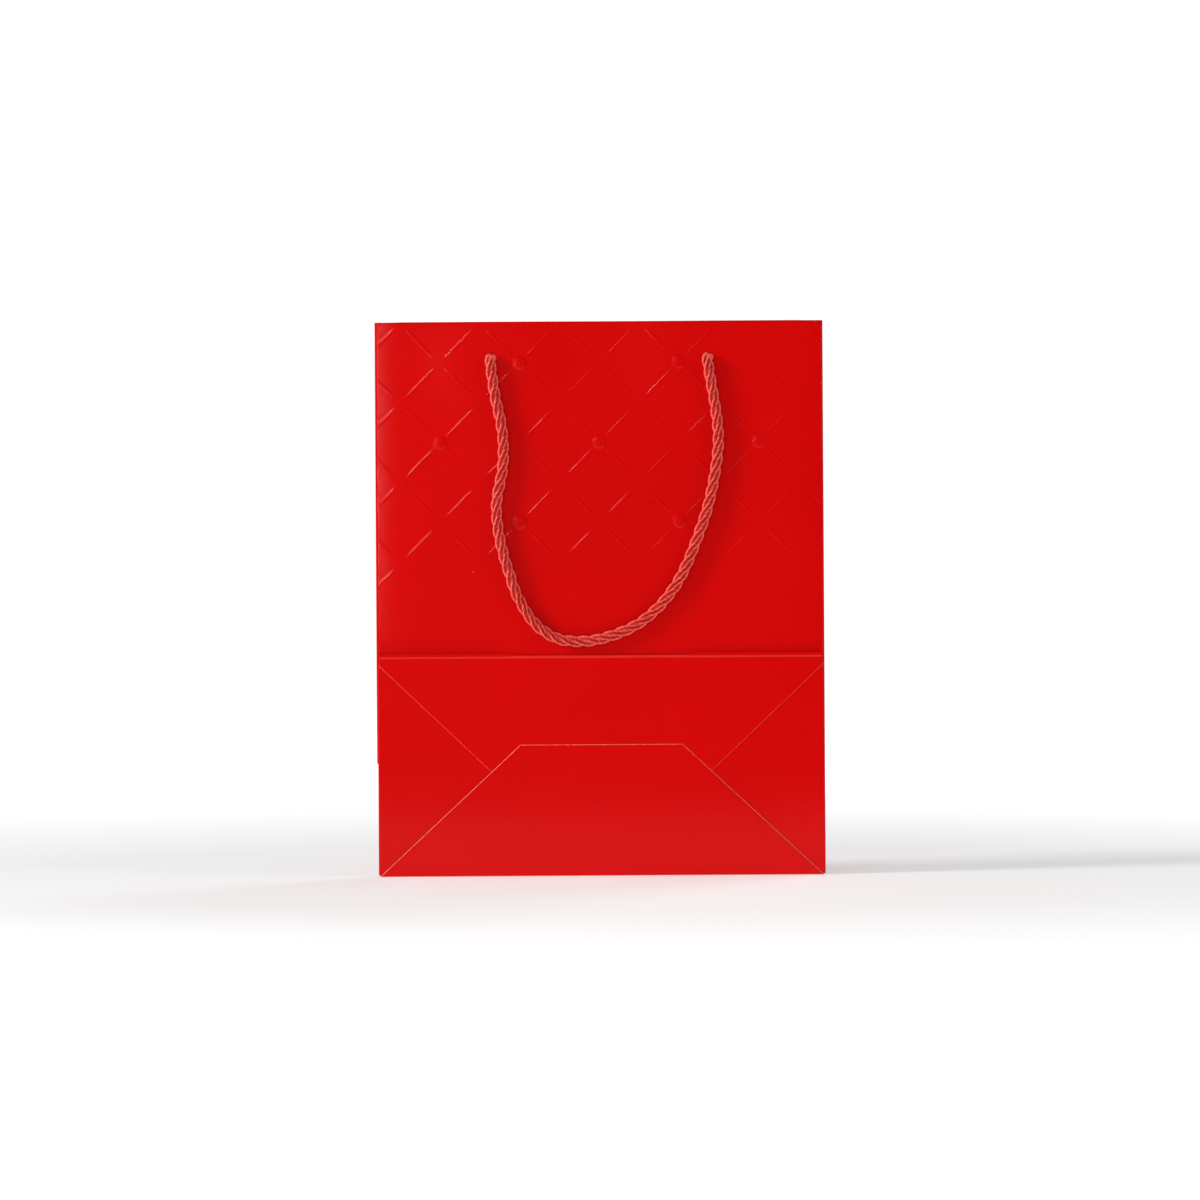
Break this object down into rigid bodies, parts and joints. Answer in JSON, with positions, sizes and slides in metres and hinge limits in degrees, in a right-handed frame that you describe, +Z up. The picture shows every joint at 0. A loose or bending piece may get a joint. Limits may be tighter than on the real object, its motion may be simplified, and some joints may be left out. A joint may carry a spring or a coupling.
{
  "type": "gift bag",
  "caption": "Paper gift bag with folding gussets, a square bottom folded up flat against the front, and two twisted cord handles.",
  "frame": {"origin": "middle of the folded bag's lowest edge, without the handles", "axes": "+Z up the bag from its bottom crease to its mouth, +X to the right as seen from the front, -Y out of the front panel"},
  "size_m": [0.2, 0.0203, 0.25],
  "materials": {
    "red_paper": "gloss",
    "white_paper": "matte",
    "grey_card": "matte",
    "white_board": "matte",
    "cord": "satin"
  },
  "bodies": {
    "back": {"back_panel": "red_paper", "back_reinforcement_card": "grey_card", "back_top_hem": "red_paper", "side_seam_tab": "white_paper", "back_right_knot": "cord", "back_left_knot": "cord"},
    "right_gusset_back": {"right_gusset_back_half": "red_paper", "right_gusset_back_hem": "red_paper"},
    "right_gusset_front": {"right_gusset_front_half": "red_paper", "right_gusset_front_hem": "red_paper"},
    "left_gusset_back": {"left_gusset_back_half": "red_paper", "left_gusset_back_hem": "red_paper"},
    "left_gusset_front": {"left_gusset_front_half": "red_paper", "left_gusset_front_hem": "red_paper"},
    "front": {"front_panel": "red_paper", "front_reinforcement_card": "grey_card", "front_top_hem": "red_paper", "front_right_knot": "cord", "front_left_knot": "cord"},
    "front_lower": {"front_lower_panel": "red_paper"},
    "bottom": {"base_board": "white_board", "bottom_right_side_flap": "red_paper", "bottom_left_side_flap": "red_paper", "bottom_front_flap": "red_paper", "bottom_back_flap": "red_paper"},
    "right_foot": {"right_gusset_foot": "red_paper"},
    "left_foot": {"left_gusset_foot": "red_paper"},
    "front_handle": {"front_handle": "cord"},
    "back_handle": {"back_handle": "cord"}
  },
  "joints": [
    {"name": "unfold", "type": "hinge", "parent": "back", "child": "right_gusset_back", "pos_m": [0.1, 0.0015, 0.125], "axis": [0, 0, 1], "range_deg": [0, 90]},
    {"name": "right_gusset_crease", "type": "hinge", "parent": "right_gusset_back", "child": "right_gusset_front", "pos_m": [0.05, 0.0004, 0.15], "axis": [0, 0, -1], "range_deg": [0, 180]},
    {"name": "front_right_crease", "type": "hinge", "parent": "right_gusset_front", "child": "front", "pos_m": [0.1, -0.0007, 0.15], "axis": [0, 0, 1], "range_deg": [0, 90]},
    {"name": "left_back_crease", "type": "hinge", "parent": "back", "child": "left_gusset_back", "pos_m": [-0.1, 0.0015, 0.125], "axis": [0, 0, -1], "range_deg": [0, 90]},
    {"name": "left_gusset_crease", "type": "hinge", "parent": "left_gusset_back", "child": "left_gusset_front", "pos_m": [-0.05, 0.0004, 0.15], "axis": [0, 0, 1], "range_deg": [0, 180]},
    {"name": "front_lower_crease", "type": "hinge", "parent": "front", "child": "front_lower", "pos_m": [0, -0.00185, 0.05], "axis": [1, 0, 0], "range_deg": [0, 180]},
    {"name": "bottom_front_crease", "type": "hinge", "parent": "front_lower", "child": "bottom", "pos_m": [0, -0.0032, 0.1], "axis": [-1, 0, 0], "range_deg": [0, 90]},
    {"name": "right_foot_crease", "type": "hinge", "parent": "bottom", "child": "right_foot", "pos_m": [0.1, -0.0036, 0.05], "axis": [0, 0, -1], "range_deg": [0, 90]},
    {"name": "left_foot_crease", "type": "hinge", "parent": "bottom", "child": "left_foot", "pos_m": [-0.1, -0.0036, 0.05], "axis": [0, 0, 1], "range_deg": [0, 90]},
    {"name": "front_handle_swing", "type": "hinge", "parent": "front", "child": "front_handle", "pos_m": [0, -0.007, 0.233], "axis": [-1, 0, 0], "range_deg": [0, 178]},
    {"name": "back_handle_swing", "type": "hinge", "parent": "back", "child": "back_handle", "pos_m": [0, 0.0078, 0.233], "axis": [1, 0, 0], "range_deg": [0, 178]}
  ],
  "couplings": [
    {"joint": "right_gusset_crease", "follows": "unfold", "ratio": 2},
    {"joint": "front_right_crease", "follows": "unfold", "ratio": 1},
    {"joint": "left_back_crease", "follows": "unfold", "ratio": 1},
    {"joint": "left_gusset_crease", "follows": "unfold", "ratio": 2},
    {"joint": "front_lower_crease", "follows": "unfold", "ratio": 2},
    {"joint": "bottom_front_crease", "follows": "unfold", "ratio": 1},
    {"joint": "right_foot_crease", "follows": "unfold", "ratio": 1},
    {"joint": "left_foot_crease", "follows": "unfold", "ratio": 1}
  ]
}
